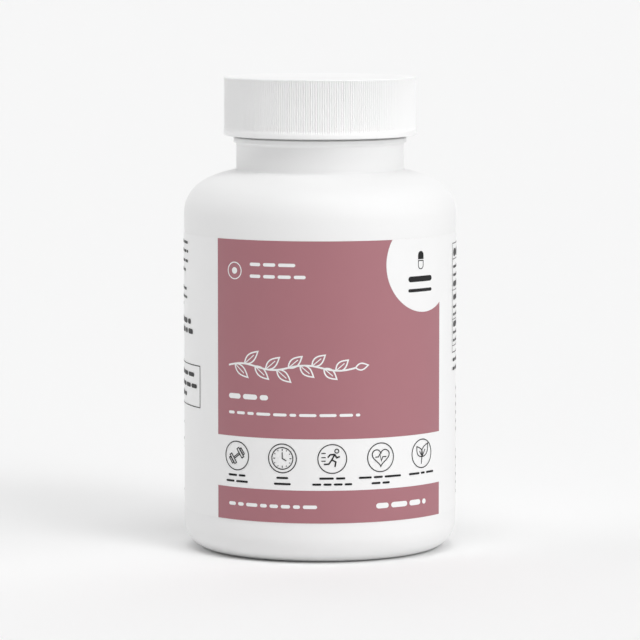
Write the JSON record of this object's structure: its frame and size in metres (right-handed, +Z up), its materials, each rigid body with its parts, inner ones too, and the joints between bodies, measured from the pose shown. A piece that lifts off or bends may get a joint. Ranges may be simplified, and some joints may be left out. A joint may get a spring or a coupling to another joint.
{
  "type": "capsule bottle with screw cap",
  "caption": "White wide-mouth plastic bottle for capsules, with a finely ribbed screw cap and a wrap-around label; the cap unscrews and lifts as it turns.",
  "frame": {"origin": "middle of the foot, on the surface the bottle stands on", "axes": "+Z up along the bottle's axis, the way the cap comes off; the middle of the label's front faces -Y; +X to the right seen from the front"},
  "size_m": [0.059, 0.059, 0.1019],
  "materials": {
    "bottle_plastic": "smooth satin white HDPE",
    "cap_plastic": "satin white polypropylene with fine moulded ribs",
    "label_paper": "semi-gloss coated paper, mauve panel on white",
    "seal_foil": "bright rolled foil",
    "liner_foam": "fine closed-cell foam",
    "canister_plastic": "matte moulded white",
    "capsule_shell": "glossy translucent capsule shell with dark red powder behind it"
  },
  "bodies": {
    "bottle": {"bottle": "bottle_plastic", "label": "label_paper", "induction_seal": "seal_foil", "desiccant_cup": "canister_plastic", "desiccant_lid": "canister_plastic", "capsule_01": "capsule_shell", "capsule_02": "capsule_shell", "capsule_03": "capsule_shell", "capsule_04": "capsule_shell", "capsule_05": "capsule_shell", "capsule_06": "capsule_shell", "capsule_07": "capsule_shell", "capsule_08": "capsule_shell", "capsule_09": "capsule_shell", "capsule_10": "capsule_shell", "capsule_11": "capsule_shell", "capsule_12": "capsule_shell", "capsule_13": "capsule_shell", "capsule_14": "capsule_shell", "capsule_15": "capsule_shell", "capsule_16": "capsule_shell", "capsule_17": "capsule_shell", "capsule_18": "capsule_shell", "capsule_19": "capsule_shell", "capsule_20": "capsule_shell", "capsule_21": "capsule_shell", "capsule_22": "capsule_shell", "capsule_23": "capsule_shell", "capsule_24": "capsule_shell", "capsule_25": "capsule_shell", "capsule_26": "capsule_shell", "capsule_27": "capsule_shell", "capsule_28": "capsule_shell", "capsule_29": "capsule_shell", "capsule_30": "capsule_shell", "capsule_31": "capsule_shell", "capsule_32": "capsule_shell", "capsule_33": "capsule_shell", "capsule_34": "capsule_shell", "capsule_35": "capsule_shell", "capsule_36": "capsule_shell", "capsule_37": "capsule_shell", "capsule_38": "capsule_shell", "capsule_39": "capsule_shell", "capsule_40": "capsule_shell", "capsule_41": "capsule_shell", "capsule_42": "capsule_shell", "capsule_43": "capsule_shell", "capsule_44": "capsule_shell", "capsule_45": "capsule_shell", "capsule_46": "capsule_shell", "capsule_47": "capsule_shell", "capsule_48": "capsule_shell", "capsule_49": "capsule_shell", "capsule_50": "capsule_shell", "capsule_51": "capsule_shell", "capsule_52": "capsule_shell", "capsule_53": "capsule_shell"},
    "liner": {"cap_liner": "liner_foam"},
    "cap": {"screw_cap": "cap_plastic"}
  },
  "joints": [
    {"name": "cap_lift", "type": "slide", "parent": "bottle", "child": "liner", "axis": [0, 0, 1], "range_m": [0, 0.00375]},
    {"name": "cap_turn", "type": "hinge", "parent": "liner", "child": "cap", "pos_m": [0, 0, 0.0954], "axis": [0, 0, 1], "range_deg": [0, 315]}
  ],
  "couplings": [
    {"joint": "cap_lift", "follows": "cap_turn", "m_per_rad": 0.0006737}
  ]
}
